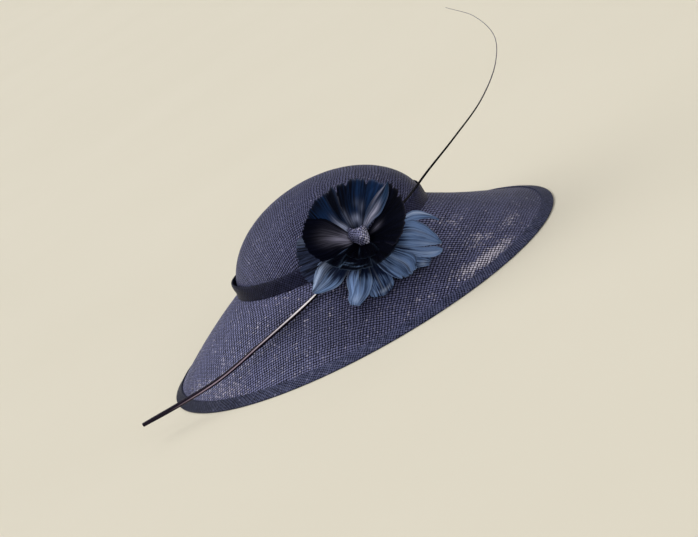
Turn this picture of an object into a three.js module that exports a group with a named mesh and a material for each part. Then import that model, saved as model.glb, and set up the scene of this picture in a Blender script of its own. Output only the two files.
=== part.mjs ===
// A wide-brim sinamay dress hat: two-ply crown and brim, bias band, wired and bound brim edge,
// petersham head ribbon, a feather flower and one long stripped quill.
//
// Millimetres, +Z up. The origin is the centre of the head-size line, where crown and brim meet.
// The wearer faces -Y, so the wearer's right, where the trim sits, is -X.

import * as THREE from 'three';

// ---- Driving dimensions -------------------------------------------------------------------

const SEGMENTS = 36;              // steps round every turned piece, shared so that gaps line up
const GAP = 0.3;                  // air between neighbouring pieces
const PLY = 0.6;                  // one pressed layer of sinamay, and the head ribbon

const HEAD_HALF_LENGTH = 101.5;   // crown's outer face at the head-size line, front to back
const HEAD_HALF_WIDTH = 85.5;     // and side to side
const HEAD_RADIUS = 93.5;         // the round radius that is pressed to that oval

const CROWN_HEIGHT = 64.8;
const CROWN_FORWARD = 5.1;        // the top of the dome sits this far forward of its base
const CROWN_SIDE_POWER = 2.04;    // exponents of the dome's superellipse
const CROWN_TOP_POWER = 1.91;
const CROWN_EDGE_HEIGHT = 1.2;

const BRIM_WIDTH = 104;           // measured flat, outward from the head-size line
const BRIM_SLOPE = 0.54;          // fall per millimetre at the crown
const BRIM_SLOPE_GAIN = 0.043;    // extra fall per millimetre at the rim
const BRIM_SWING = 12.5;          // front dips and back lifts, halfway along the brim
const BRIM_PLY_INSET = 5;         // the plies stop this far inside the bound rim
const UPSTAND_HEIGHT = 10;        // brim collar that stands inside the crown

const RIBBON_HEIGHT = 22;
const BAND_HEIGHT = 12;
const BAND_FOOT = 2.6;            // how far the band stands off the crown at its foot
const BAND_LIP = 3.0;             // and at its open upper edge
const BAND_THICKNESS = 1.6;

const BINDING_WIDTH = 10.5;
const BINDING_PLY = 0.8;
const BINDING_REST_WIDTH = 2.6;   // level strip under the rim that the hat stands on
const WIRE_RADIUS = 0.5;

const FLOWER_FACING = 62;         // degrees from the wearer's front towards the right
const FLOWER_TILT = 40;           // degrees above level
const FLOWER_CENTRE = new THREE.Vector3(-79.4, -63, 10);
const BASE_RADIUS = 15;
const BASE_THICKNESS = 1.8;
const STEM_RADIUS = 3;
const STEM_LENGTH = 6.8;
const STEM_DROP = 9;              // the stem sits this far below the flower's centre
const PETAL_THICKNESS = 0.8;
const PETAL_LAYER = 2;            // spacing of the nested rows of petals
const UNDER_ROOT_RADIUS = 5;
const CUP_ROOT_RADIUS = 6;
const CUP_RADIUS = 48;
const CUP_FLOOR = 5.6;            // height of the cup's middle above the flower's base
const CUP_DEPTH = 34.5;
const BUTTON_RADIUS = 10;
const BUTTON_HEIGHT = 7;
const BUTTON_FLOOR = 12.6;

// ---- Materials ----------------------------------------------------------------------------

function material(color, roughness) {
  return new THREE.MeshStandardMaterial({ color, roughness, metalness: 0 });
}

const NAVY_SINAMAY = material(0x4d4e65, 0.75);
const DARK_SINAMAY = material(0x24232f, 0.75);
const BINDING_SINAMAY = material(0x474b66, 0.75);
const RIBBON = material(0x1a1b2a, 0.85);
const WIRE = material(0x15161c, 0.5);
const BLACK_FEATHER = material(0x0f1422, 0.6);
const BLUE_FEATHER = material(0x4b5b79, 0.7);
const QUILL = material(0x17121b, 0.35);
const FELT = material(0x14161f, 0.95);
const THREAD = material(0x1c1d2b, 0.8);

const hat = new THREE.Group();

function add(parent, name, geometry, look) {
  const mesh = new THREE.Mesh(geometry, look);
  mesh.name = name;
  parent.add(mesh);
  return mesh;
}

// ---- Turned pieces pressed to the oval of a head -------------------------------------------

function ovalRadius(cosine, sine) {
  return 1 / Math.hypot(cosine / HEAD_HALF_WIDTH, sine / HEAD_HALF_LENGTH);
}

// Presses a round turned piece to the head oval, leans the crown forward and swings the brim.
function pressToHead(geometry) {
  const positions = geometry.attributes.position;
  const swingWidth = BRIM_WIDTH - BRIM_PLY_INSET;
  for (let i = 0; i < positions.count; i += 1) {
    const x = positions.getX(i);
    const y = positions.getY(i);
    const z = positions.getZ(i);
    const radius = Math.hypot(x, y);
    const cosine = radius > 0 ? x / radius : 1;
    const sine = radius > 0 ? y / radius : 0;
    const widening = ovalRadius(cosine, sine) - HEAD_RADIUS;
    const pressed = radius + widening * Math.min(1, radius / HEAD_RADIUS);
    const outward = THREE.MathUtils.clamp((radius - HEAD_RADIUS) / swingWidth, 0, 1);
    const lean = CROWN_FORWARD * Math.max(0, z) / CROWN_HEIGHT;
    const dip = -BRIM_SWING * -sine * outward * (1 - outward);
    positions.setXYZ(i, pressed * cosine, pressed * sine - lean, z + dip);
  }
  return geometry;
}

// Turns a closed outline of [radius, height] points about the upright axis.
function turned(outline) {
  const points = outline.map(([radius, height]) => new THREE.Vector2(radius, height));
  const geometry = new THREE.LatheGeometry(points, SEGMENTS);
  geometry.rotateX(Math.PI / 2);
  return pressToHead(geometry);
}

// A point of the dome, `depth` inside its outer face. The angle runs from 0 at the top.
function domePoint(angle, depth) {
  const at = (a) => [
    HEAD_RADIUS * Math.sin(a) ** (2 / CROWN_SIDE_POWER),
    CROWN_HEIGHT * Math.cos(a) ** (2 / CROWN_TOP_POWER),
  ];
  const quarter = Math.PI / 2;
  if (angle <= 0) return [0, CROWN_HEIGHT - depth];
  const step = 1e-3;
  const [r0, z0] = at(Math.max(0, angle - step));
  const [r1, z1] = at(Math.min(quarter, angle + step));
  const length = Math.hypot(r1 - r0, z1 - z0);
  const [r, z] = at(Math.min(angle, quarter));
  return [r - depth * (z0 - z1) / length, z - depth * (r1 - r0) / length];
}

function domeAngle(height) {
  return Math.acos((height / CROWN_HEIGHT) ** (CROWN_TOP_POWER / 2));
}

// Points down the dome between two heights, `depth` inside its outer face.
function domeFace(top, bottom, depth, steps) {
  const from = top >= CROWN_HEIGHT ? 0 : domeAngle(top);
  const to = domeAngle(bottom);
  const face = [];
  for (let i = 0; i <= steps; i += 1) face.push(domePoint(from + (to - from) * i / steps, depth));
  return face;
}

function crownShell(depth) {
  const inner = domeFace(CROWN_HEIGHT, CROWN_EDGE_HEIGHT, depth + PLY, 10);
  const outer = domeFace(CROWN_HEIGHT, CROWN_EDGE_HEIGHT, depth, 10);
  return turned([...inner, ...outer.reverse()]);
}

// Height of the brim's upper face at a distance out from the head-size line.
function brimHeight(out) {
  return -GAP - BRIM_SLOPE * out - 0.5 * BRIM_SLOPE_GAIN * out * out / BRIM_WIDTH;
}

// A point of the brim, `depth` under its upper face.
function brimPoint(out, depth) {
  const slope = BRIM_SLOPE + BRIM_SLOPE_GAIN * out / BRIM_WIDTH;
  const length = Math.hypot(1, slope);
  return [HEAD_RADIUS + out - depth * slope / length, brimHeight(out) - depth / length];
}

// Where the collar's wall and the brim's plane meet, for the face that lies `depth` in.
function brimCorner(wall, depth) {
  const drop = depth * Math.hypot(1, BRIM_SLOPE);
  return [HEAD_RADIUS - wall, -GAP + BRIM_SLOPE * wall - drop];
}

function brimFace(depth) {
  const collar = 2 * (PLY + GAP) + depth;
  const wall = domeFace(UPSTAND_HEIGHT, 3, collar, 2);
  const face = [...wall, brimCorner(collar, depth)];
  const steps = 6;
  const width = BRIM_WIDTH - BRIM_PLY_INSET;
  for (let i = 0; i <= steps; i += 1) face.push(brimPoint(1 + (width - 1) * i / steps, depth));
  return face;
}

function brimPly(depth) {
  const under = brimFace(depth + PLY);
  const upper = brimFace(depth).reverse();
  return turned([...under, ...upper, under[0]]);
}

add(hat, 'crown_outer_ply', crownShell(0), NAVY_SINAMAY);
add(hat, 'crown_inner_ply', crownShell(PLY + GAP), NAVY_SINAMAY);
add(hat, 'brim_outer_ply', brimPly(0), NAVY_SINAMAY);
add(hat, 'brim_inner_ply', brimPly(PLY + GAP), NAVY_SINAMAY);

// ---- Head ribbon and crown band -------------------------------------------------------------

function headRibbon() {
  const depth = 4 * (PLY + GAP);
  const inner = domeFace(RIBBON_HEIGHT, CROWN_EDGE_HEIGHT, depth + PLY, 3);
  const outer = domeFace(RIBBON_HEIGHT, CROWN_EDGE_HEIGHT, depth, 3).reverse();
  return turned([...inner, ...outer, inner[0]]);
}

function crownBand() {
  const lipInner = domePoint(domeAngle(BAND_HEIGHT), BAND_THICKNESS - BAND_LIP);
  const lipOuter = domePoint(domeAngle(BAND_HEIGHT - 0.8), -BAND_LIP);
  const fold = domePoint(domeAngle(BAND_HEIGHT + 0.6), 0.5 * BAND_THICKNESS - BAND_LIP);
  const inner = domeFace(BAND_HEIGHT - 3, 1, -GAP, 2);
  const foot = [
    [HEAD_RADIUS + GAP, brimHeight(GAP) + 1.3 * GAP],
    [HEAD_RADIUS + BAND_FOOT, brimHeight(BAND_FOOT) + 1.3 * GAP],
  ];
  const outer = [domePoint(domeAngle(6), -BAND_FOOT - 0.1)];
  return turned([lipInner, ...inner, ...foot, ...outer, lipOuter, fold, lipInner]);
}

add(hat, 'head_ribbon', headRibbon(), RIBBON);
add(hat, 'crown_band', crownBand(), DARK_SINAMAY);

// ---- Brim edge: a wire inside a folded bias binding ---------------------------------------------

const RIM = HEAD_RADIUS + BRIM_WIDTH;
const BINDING_TOP = -GAP - BINDING_PLY;                       // depths measured from the brim's top
const BINDING_UNDER = 2 * PLY + 2 * GAP;                      // inside face of its lower leaf
const REST_OUT = BRIM_WIDTH - BINDING_REST_WIDTH - 0.8;
const [, REST_HEIGHT] = brimPoint(REST_OUT, BINDING_UNDER + BINDING_PLY);

function brimBinding() {
  const start = BRIM_WIDTH - BINDING_WIDTH;
  const insideTop = [brimPoint(start, -GAP), brimPoint(BRIM_WIDTH - 1, -GAP)];
  const insideHeight = REST_HEIGHT + BINDING_PLY;
  const insideUnder = [
    [RIM - 1.2, insideHeight],
    [RIM - 4.4, insideHeight],
    brimPoint(start, BINDING_UNDER),
  ];
  const under = [
    brimPoint(start, BINDING_UNDER + BINDING_PLY),
    [RIM - BINDING_REST_WIDTH - 2.3, REST_HEIGHT],
    [RIM - 0.8, REST_HEIGHT],
  ];
  const edge = [[RIM, REST_HEIGHT + 0.9]];
  const top = [brimPoint(BRIM_WIDTH - 0.2, BINDING_TOP), brimPoint(start, BINDING_TOP)];
  return turned([...insideTop, ...insideUnder, ...under, ...edge, ...top, insideTop[0]]);
}

function edgeWire() {
  const middle = [RIM - 3.4, REST_HEIGHT + BINDING_PLY + 1.5 * GAP + WIRE_RADIUS];
  const sides = 6;
  const section = [];
  for (let i = 0; i <= sides; i += 1) {
    const angle = 2 * Math.PI * (i % sides) / sides;
    section.push([middle[0] + WIRE_RADIUS * Math.cos(angle), middle[1] + WIRE_RADIUS * Math.sin(angle)]);
  }
  return turned(section);
}

add(hat, 'brim_edge_binding', brimBinding(), BINDING_SINAMAY);
add(hat, 'brim_edge_wire', edgeWire(), WIRE);

// ---- Feather flower ----------------------------------------------------------------------------------

// The flower's own frame: +Z out of its face, +Y towards the crown's top, +X towards the front.
const flower = new THREE.Group();
flower.position.copy(FLOWER_CENTRE);
const facing = THREE.MathUtils.degToRad(FLOWER_FACING);
const tilt = THREE.MathUtils.degToRad(FLOWER_TILT);
const outward = new THREE.Vector3(-Math.sin(facing), -Math.cos(facing), 0);
const flowerAxis = outward.clone().multiplyScalar(Math.cos(tilt)).setZ(Math.sin(tilt));
const flowerRight = new THREE.Vector3(0, 0, 1).cross(outward);
const flowerUp = flowerAxis.clone().cross(flowerRight);
flower.quaternion.setFromRotationMatrix(
  new THREE.Matrix4().makeBasis(flowerRight, flowerUp, flowerAxis));
hat.add(flower);

// Height of the spread row: it lifts over the brim on its lower side.
function underHeight(radius, angle) {
  const down = Math.max(0, -Math.sin(angle));
  return 10 * down * down * (radius / 64) ** 1.5;
}

function cupHeight(radius) {
  const reach = Math.max(0, (radius - CUP_ROOT_RADIUS) / (CUP_RADIUS - CUP_ROOT_RADIUS));
  return CUP_FLOOR + CUP_DEPTH * reach ** 1.25;
}

// A petal is a thin patch of a bowl. Rows share one bowl, stacked in layers, so none cross.
function petal({ degrees, root, reach, width, layer, height, tip }) {
  const geometry = new THREE.BoxGeometry(1, 1, 1, 5, 4, 1);
  const positions = geometry.attributes.position;
  const middle = THREE.MathUtils.degToRad(degrees);
  for (let i = 0; i < positions.count; i += 1) {
    const along = positions.getX(i) + 0.5;
    const across = positions.getY(i);
    const through = positions.getZ(i) + 0.5;
    const spread = Math.sin(Math.PI * Math.min(0.5, 0.72 * along)) ** 1.3;
    const narrowing = along > 0.7 ? 1 - (1 - tip) * ((along - 0.7) / 0.3) ** 2 : 1;
    const breadth = 3 + (width - 3) * spread * narrowing;
    const rounding = 1 - 0.12 * (2 * across) ** 2 * along;
    const radius = root + (reach - root) * along * rounding;
    const angle = middle + breadth * across / radius;
    positions.setXYZ(i, radius * Math.cos(angle), radius * Math.sin(angle),
      height(radius, angle) + layer * PETAL_LAYER + through * PETAL_THICKNESS);
  }
  return geometry;
}

// Degrees run anticlockwise from the flower's +X; layer 0 is the rearmost of a row.
const UNDER_PETALS = [
  { degrees: -16, reach: 73, width: 19, layer: 0 },
  { degrees: -33, reach: 75, width: 25, layer: 1 },
  { degrees: -45, reach: 76, width: 18, layer: 2 },
  { degrees: -58, reach: 70, width: 22, layer: 0 },
  { degrees: -71, reach: 60, width: 20, layer: 1 },
  { degrees: -88, reach: 63, width: 25, layer: 2 },
  { degrees: -110, reach: 66, width: 20, layer: 0 },
  { degrees: -146, reach: 62, width: 27, layer: 1 },
  { degrees: -170, reach: 58, width: 24, layer: 0 },
  { degrees: 160, reach: 56, width: 24, layer: 2 },
];

const CUP_PETALS = [
  { degrees: -176, reach: 48, width: 50, layer: 0 },
  { degrees: 131, reach: 47, width: 42, layer: 1 },
  { degrees: 82, reach: 46, width: 46, layer: 2 },
  { degrees: 42, reach: 50, width: 30, layer: 0 },
  { degrees: 4, reach: 50, width: 48, layer: 1 },
  { degrees: -44, reach: 46, width: 44, layer: 2 },
  { degrees: -90, reach: 38, width: 38, layer: 1 },
  { degrees: -132, reach: 38, width: 34, layer: 2 },
];

UNDER_PETALS.forEach((shape, i) => {
  const geometry = petal({ ...shape, root: UNDER_ROOT_RADIUS, height: underHeight, tip: 0.25 });
  add(flower, `under_petal_${i + 1}`, geometry, BLUE_FEATHER);
});

CUP_PETALS.forEach((shape, i) => {
  const geometry = petal({ ...shape, root: CUP_ROOT_RADIUS, height: cupHeight, tip: 0.7 });
  add(flower, `cup_petal_${i + 1}`, geometry, BLACK_FEATHER);
});

// Felt disc that every petal is sewn through, and the bound petal shafts that stand it on the brim.
const disc = new THREE.CylinderGeometry(BASE_RADIUS, BASE_RADIUS, BASE_THICKNESS, 20);
disc.rotateX(Math.PI / 2);
disc.translate(0, 0, -GAP - BASE_THICKNESS / 2);
add(flower, 'flower_base', disc, FELT);

const stem = new THREE.CylinderGeometry(STEM_RADIUS, 0.75 * STEM_RADIUS, STEM_LENGTH, 10);
stem.rotateX(Math.PI / 2);
stem.translate(0, -STEM_DROP, -2 * GAP - BASE_THICKNESS - STEM_LENGTH / 2);
add(flower, 'flower_stem', stem, THREAD);

// Turned about the flower's own axis, from a closed outline.
function turnedOnFlower(outline, segments) {
  const points = outline.map(([radius, height]) => new THREE.Vector2(radius, height));
  const geometry = new THREE.LatheGeometry(points, segments);
  geometry.rotateX(Math.PI / 2);
  return geometry;
}

// Points over a low dome, from the edge of its base to the axis.
function domeOutline(radius, height, floor) {
  const outline = [];
  const steps = 4;
  for (let i = 0; i < steps; i += 1) {
    const angle = Math.PI / 2 * i / steps;
    outline.push([radius * Math.cos(angle), floor + height * Math.sin(angle)]);
  }
  return [...outline, [0, floor + height]];
}

const coreFloor = BUTTON_FLOOR + GAP;
const coreRadius = BUTTON_RADIUS - PLY - GAP;
const core = [[0, coreFloor], ...domeOutline(coreRadius, BUTTON_HEIGHT - PLY - 2 * GAP, coreFloor)];
const coverInside = domeOutline(BUTTON_RADIUS - PLY, BUTTON_HEIGHT - PLY, BUTTON_FLOOR).reverse();
const coverOutside = domeOutline(BUTTON_RADIUS, BUTTON_HEIGHT, BUTTON_FLOOR);
add(flower, 'button_core', turnedOnFlower(core, 12), FELT);
add(flower, 'button_cover', turnedOnFlower([...coverInside, ...coverOutside], 12), NAVY_SINAMAY);

// ---- Tapered tubes -------------------------------------------------------------------------------------

// A closed tube of changing radius along a curve: rings of `sides` points and two end caps.
function taperedTube(curve, radiusAt, steps, sides) {
  const frames = curve.computeFrenetFrames(steps, false);
  const vertices = [];
  const faces = [];
  for (let i = 0; i <= steps; i += 1) {
    const along = i / steps;
    const centre = curve.getPointAt(along);
    const radius = radiusAt(along);
    for (let j = 0; j < sides; j += 1) {
      const angle = 2 * Math.PI * j / sides;
      const point = centre.clone()
        .addScaledVector(frames.normals[i], radius * Math.cos(angle))
        .addScaledVector(frames.binormals[i], radius * Math.sin(angle));
      vertices.push(point.x, point.y, point.z);
    }
  }
  for (let i = 0; i < steps; i += 1) {
    for (let j = 0; j < sides; j += 1) {
      const a = i * sides + j;
      const b = i * sides + (j + 1) % sides;
      faces.push(a, b, b + sides, a, b + sides, a + sides);
    }
  }
  const last = steps * sides;
  for (let j = 1; j < sides - 1; j += 1) {
    faces.push(0, j + 1, j);
    faces.push(last, last + j, last + j + 1);
  }
  const geometry = new THREE.BufferGeometry();
  geometry.setAttribute('position', new THREE.Float32BufferAttribute(vertices, 3));
  geometry.setIndex(faces);
  return geometry;
}

function smoothCurve(points) {
  return new THREE.CatmullRomCurve3(points.map((p) => new THREE.Vector3(...p)), false, 'centripetal');
}

// ---- Quill ----------------------------------------------------------------------------------------------

// The stripped quill, from its butt behind the wearer, past the back of the flower, to its curled tip.
const QUILL_PATH = [
  [-174, 174, -37.5],
  [-163.5, 133.5, -36],
  [-151, 93, -33],
  [-136, 46.5, -23],
  [-117.5, 5.5, -14],
  [-106, -15, -8.5],
  [-76.5, -55.5, 5],
  [-47.5, -106, 19],
  [-28.5, -134.5, 31],
  [-8, -164.5, 46],
  [13, -196, 64],
  [29, -219.5, 85],
  [34.5, -229, 106],
  [31.5, -223, 130],
  [20.5, -206.5, 151.5],
];

// Half thickness of the quill along its length, as [share of length, radius] knots.
const QUILL_TAPER = [[0, 1.3], [0.06, 2.0], [0.25, 1.8], [0.5, 1.2], [0.7, 0.7], [0.9, 0.35], [1, 0.2]];

function quillRadius(along) {
  const next = Math.max(1, QUILL_TAPER.findIndex(([share]) => share >= along));
  const [share0, radius0] = QUILL_TAPER[next - 1];
  const [share1, radius1] = QUILL_TAPER[next];
  return radius0 + (radius1 - radius0) * (along - share0) / (share1 - share0);
}

add(hat, 'quill', taperedTube(smoothCurve(QUILL_PATH), quillRadius, 48, 6), QUILL);

// ---- Stitches ----------------------------------------------------------------------------------------------

// Height of the brim's upper face under any point outside the crown.
function brimHeightAt(x, y) {
  const radius = Math.hypot(x, y);
  const out = radius - ovalRadius(x / radius, y / radius);
  const share = out / (BRIM_WIDTH - BRIM_PLY_INSET);
  return brimHeight(out) + BRIM_SWING * (y / radius) * share * (1 - share);
}

// Thread tacks: each is an arch over the quill with both feet on the brim.
function tackArch(middle, across, clearance) {
  const points = [];
  const steps = 6;
  for (let i = 0; i <= steps; i += 1) {
    const angle = Math.PI * i / steps;
    const foot = middle.clone().addScaledVector(across, clearance * Math.cos(angle));
    const ground = brimHeightAt(foot.x, foot.y) + 0.8;
    const crest = middle.z + clearance;
    points.push([foot.x, foot.y, ground + (crest - ground) * Math.sin(angle)]);
  }
  return taperedTube(smoothCurve(points), () => 0.35, 12, 6);
}

const quillCurve = smoothCurve(QUILL_PATH);
[0.405, 0.44].forEach((share, i) => {
  const middle = quillCurve.getPointAt(share);
  const along = quillCurve.getTangentAt(share);
  const across = new THREE.Vector3(-along.y, along.x, 0).normalize();
  add(hat, `quill_tack_${i + 1}`, tackArch(middle, across, 3), THREAD);
});

export default hat;
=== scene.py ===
"""A wide-brim sinamay dress hat: its looks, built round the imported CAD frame.

Shapes are worked out in millimetres and stored in metres. +Z is up, the wearer faces -Y, and the
wearer's right, where the flower and quill sit, is -X.
"""

import math

import bpy
import numpy as np
from mathutils import Matrix, Vector


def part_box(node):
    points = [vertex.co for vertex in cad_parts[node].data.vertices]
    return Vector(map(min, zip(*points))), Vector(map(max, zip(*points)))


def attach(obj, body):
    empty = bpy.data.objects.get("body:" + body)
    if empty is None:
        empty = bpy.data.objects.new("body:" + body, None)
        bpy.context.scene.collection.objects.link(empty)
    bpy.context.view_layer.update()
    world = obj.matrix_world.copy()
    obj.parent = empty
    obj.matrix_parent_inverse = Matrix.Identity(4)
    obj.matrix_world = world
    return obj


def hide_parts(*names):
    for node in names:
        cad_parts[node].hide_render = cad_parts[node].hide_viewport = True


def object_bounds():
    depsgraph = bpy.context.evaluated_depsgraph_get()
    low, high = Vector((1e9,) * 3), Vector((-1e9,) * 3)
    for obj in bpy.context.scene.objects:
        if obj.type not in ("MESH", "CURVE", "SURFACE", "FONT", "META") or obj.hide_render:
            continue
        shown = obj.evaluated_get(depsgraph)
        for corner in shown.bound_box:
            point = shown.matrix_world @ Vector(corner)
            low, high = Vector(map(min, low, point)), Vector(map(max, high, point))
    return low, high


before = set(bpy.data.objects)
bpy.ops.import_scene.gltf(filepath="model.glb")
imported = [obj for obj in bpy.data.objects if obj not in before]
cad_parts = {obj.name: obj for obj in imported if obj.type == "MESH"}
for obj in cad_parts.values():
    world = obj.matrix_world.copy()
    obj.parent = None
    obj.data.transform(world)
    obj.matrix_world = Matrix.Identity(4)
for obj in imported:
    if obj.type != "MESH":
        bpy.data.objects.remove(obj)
cad_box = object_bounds()

MM = 0.001


def box_mm(node):
    """Lowest and highest corner of a CAD node, in millimetres."""
    low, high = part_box(node)
    return np.array(low) / MM, np.array(high) / MM


# ---- Driving dimensions, from the frame and from the design ----

GAP = 0.3
PLY = 0.6
PLY_STEP = PLY + GAP
CLOTH_THICKNESS = 0.8 * PLY
HEAD_OVAL = (85.5, 101.5)      # half width and half length of the crown's base, by design
HEAD_HALF_WIDTH = box_mm("crown_outer_ply")[1][0]
HEAD_HALF_LENGTH = HEAD_HALF_WIDTH * HEAD_OVAL[1] / HEAD_OVAL[0]
HEAD_RADIUS = 93.5
CROWN_HEIGHT = box_mm("crown_outer_ply")[1][2]
CROWN_FORWARD = 5.1
CROWN_SIDE_POWER = 2.04
CROWN_TOP_POWER = 1.91
CROWN_EDGE_HEIGHT = 1.2
BRIM_WIDTH = 104.0
BRIM_SLOPE = 0.54
BRIM_SLOPE_GAIN = 0.043
BRIM_SWING = 12.5
BRIM_PLY_INSET = 5.0
UPSTAND_HEIGHT = 10.0
RIBBON_HEIGHT = 22.0
BAND_HEIGHT = 12.5
BAND_THICKNESS = 0.5
BINDING_WIDTH = 10.5
BINDING_THICKNESS = 0.45
REST_HEIGHT = box_mm("brim_edge_binding")[0][2]

FLOWER_FACING = math.radians(62)
FLOWER_TILT = math.radians(40)
DISC_THICKNESS = 1.8
CUP_FLOOR = 5.6
CUP_ROOT = 6
CUP_RADIUS = 48
CUP_DEPTH = 34.5
UNDER_RADIUS = 64
UNDER_LIFT = 10
FEATHER_THICKNESS = 0.3
BUTTON_FLOOR = 13.0
BUTTON_RISE = 7.6
BUTTON_CLOTH = 12      # from the middle of the gathered square to where it is tied


# ---- Mesh helpers ----

def add_object(name, data):
    made = bpy.data.objects.new(name, data)
    bpy.context.scene.collection.objects.link(made)
    return made


def new_piece(name, points, faces, material, attributes):
    """A mesh object from points in millimetres, riding on the hat's one body."""
    mesh = bpy.data.meshes.new(name)
    mesh.from_pydata((np.asarray(points) * MM).tolist(), [], [list(map(int, f)) for f in faces])
    for key, values in attributes.items():
        layer = mesh.attributes.new(key, "FLOAT_VECTOR", "POINT")
        layer.data.foreach_set("vector", np.asarray(values, np.float32).ravel())
    mesh.validate()
    mesh.update()
    mesh.shade_smooth()
    piece = add_object(name, mesh)
    mesh.materials.append(material)
    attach(piece, "root")
    return piece


def grid_faces(rows, columns, wrap=False, start=0):
    """Quads over a grid of points stored row by row, facing along row x column."""
    faces = []
    last = columns if wrap else columns - 1
    for i in range(rows - 1):
        for j in range(last):
            k = (j + 1) % columns
            a, b = start + i * columns + j, start + i * columns + k
            c, d = start + (i + 1) * columns + k, start + (i + 1) * columns + j
            faces.append((a, b, c, d))
    return faces


def smoothstep(low, high, x):
    t = np.clip((x - low) / (high - low), 0, 1)
    return t * t * (3 - 2 * t)


# ---- Turned pieces pressed to the head ----

def oval_radius(theta):
    return 1 / np.hypot(np.cos(theta) / HEAD_HALF_WIDTH, np.sin(theta) / HEAD_HALF_LENGTH)


def press_to_head(radius, height, theta):
    """A round turned point, pressed to the head's oval, leaned and swung, with a slight wave."""
    pressed = radius + (oval_radius(theta) - HEAD_RADIUS) * np.minimum(1, radius / HEAD_RADIUS)
    out = np.clip((radius - HEAD_RADIUS) / (BRIM_WIDTH - BRIM_PLY_INSET), 0, 1)
    belly = out * (1 - out)
    lean = CROWN_FORWARD * np.maximum(0, height) / CROWN_HEIGHT
    dip = BRIM_SWING * np.sin(theta) * belly
    wave = belly * (1.6 * np.sin(3 * theta + 0.7) + 1.0 * np.sin(5 * theta + 2.1 + 2 * out))
    x, y = pressed * np.cos(theta), pressed * np.sin(theta) - lean
    return np.stack([x, y, height + dip + wave], -1)


def revolve(profile, flat, segments, closed, offset=None):
    """Turns (radius, height) points about Z. flat is each point's distance from the middle of the
    cloth that it is cut from, and offset moves a ring's points before they are pressed to the
    head. Returns points, faces and the place of each point on the cloth."""
    profile = np.asarray(profile, float)
    theta = np.linspace(0, 2 * np.pi, segments, endpoint=False)
    points, places, rings = [], [], []
    count = 0
    for (radius, height), far in zip(profile, flat):
        if radius < 1e-6:
            points.append(press_to_head(np.zeros(1), np.full(1, height), np.zeros(1)))
            places.append(np.zeros((1, 3)))
            rings.append((count, 1))
            count += 1
            continue
        r, z = np.full(segments, radius), np.full(segments, height)
        if offset is not None:
            r, z = offset(r, z, theta)
        points.append(press_to_head(r, z, theta))
        x, y = far * np.cos(theta), far * np.sin(theta)
        places.append(np.stack([x, y, np.full(segments, far)], -1))
        rings.append((count, segments))
        count += segments
    faces = []
    pairs = list(zip(rings, rings[1:]))
    if closed:
        pairs.append((rings[-1], rings[0]))
    for (a, na), (b, nb) in pairs:
        for j in range(segments):
            k = (j + 1) % segments
            if na == 1:
                faces.append((a, b + k, b + j))
            elif nb == 1:
                faces.append((a + j, a + k, b))
            else:
                faces.append((a + j, a + k, b + k, b + j))
    return np.concatenate(points), faces, np.concatenate(places)


def dome_point(angle, depth):
    """A point of the dome's section, depth inside its outer face; angle 0 is the top."""
    def at(a):
        return np.array([
            HEAD_RADIUS * math.sin(a) ** (2 / CROWN_SIDE_POWER),
            CROWN_HEIGHT * max(0.0, math.cos(a)) ** (2 / CROWN_TOP_POWER),
        ])
    if angle <= 0:
        return np.array([0, CROWN_HEIGHT - depth])
    step = 1e-3
    before, after = at(max(0, angle - step)), at(min(math.pi / 2, angle + step))
    along = (after - before) / np.linalg.norm(after - before)
    return at(min(angle, math.pi / 2)) - depth * np.array([-along[1], along[0]])


def dome_angle(height):
    return math.acos((height / CROWN_HEIGHT) ** (CROWN_TOP_POWER / 2))


def dome_face(top, bottom, depth, steps):
    """The dome's section between two heights, depth inside its outer face."""
    start = 0 if top >= CROWN_HEIGHT else dome_angle(top)
    end = dome_angle(bottom)
    angles = [start + (end - start) * i / steps for i in range(steps + 1)]
    return np.array([dome_point(angle, depth) for angle in angles])


def along_profile(profile):
    """Distance along a line of points from its first one."""
    steps = np.linalg.norm(np.diff(profile, axis=0), axis=1)
    return np.concatenate([[0], np.cumsum(steps)])


def brim_height(out):
    return -GAP - BRIM_SLOPE * out - 0.5 * BRIM_SLOPE_GAIN * out * out / BRIM_WIDTH


def brim_point(out, depth):
    """A point of the brim's section, depth inside its upper face."""
    slope = BRIM_SLOPE + BRIM_SLOPE_GAIN * out / BRIM_WIDTH
    length = math.hypot(1, slope)
    return np.array([HEAD_RADIUS + out - depth * slope / length, brim_height(out) - depth / length])


def brim_face(depth, steps):
    """The brim's section from the top of its collar to its edge, depth inside its upper face."""
    collar = 2 * PLY_STEP + depth
    wall = dome_face(UPSTAND_HEIGHT, 2, collar, steps=5)
    drop = depth * math.hypot(1, BRIM_SLOPE)
    corner = np.array([HEAD_RADIUS - collar, -GAP + BRIM_SLOPE * collar - drop])
    reach = BRIM_WIDTH - BRIM_PLY_INSET - 1
    slope = [brim_point(1 + reach * i / steps, depth) for i in range(steps + 1)]
    return np.array([*wall, corner, *slope])


# ---- Material helpers ----

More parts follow.
